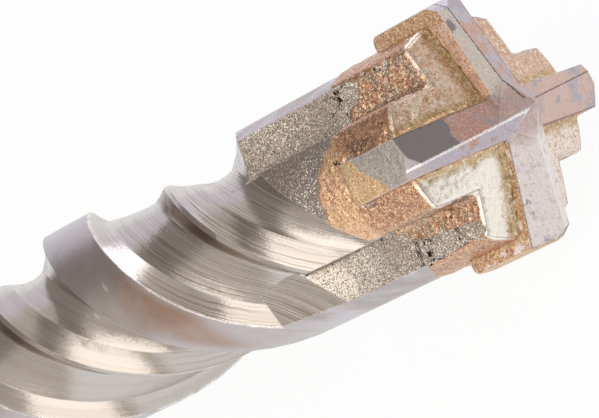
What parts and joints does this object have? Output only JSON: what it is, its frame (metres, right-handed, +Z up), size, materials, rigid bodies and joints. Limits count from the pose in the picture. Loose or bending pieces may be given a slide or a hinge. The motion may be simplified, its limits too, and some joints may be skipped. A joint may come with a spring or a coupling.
{
  "type": "masonry drill bit",
  "caption": "Hammer drill bit: right-hand twisted steel body, brazed carbide cross head, grooved round shank.",
  "frame": {"origin": "centre of the shank's end face, on the bit's axis", "axes": "+X along the bit to its tip; +Z up as the bit lies, with two wings up and two down"},
  "size_m": [0.32, 0.0218, 0.0218],
  "materials": {
    "blasted_steel": "grit blasted",
    "sintered_carbide": "ground and heat tinted",
    "copper_braze": "as flowed"
  },
  "bodies": {
    "root": {"steel_body": "blasted_steel", "carbide_cross_head": "sintered_carbide", "braze_joint": "copper_braze"}
  },
  "joints": []
}
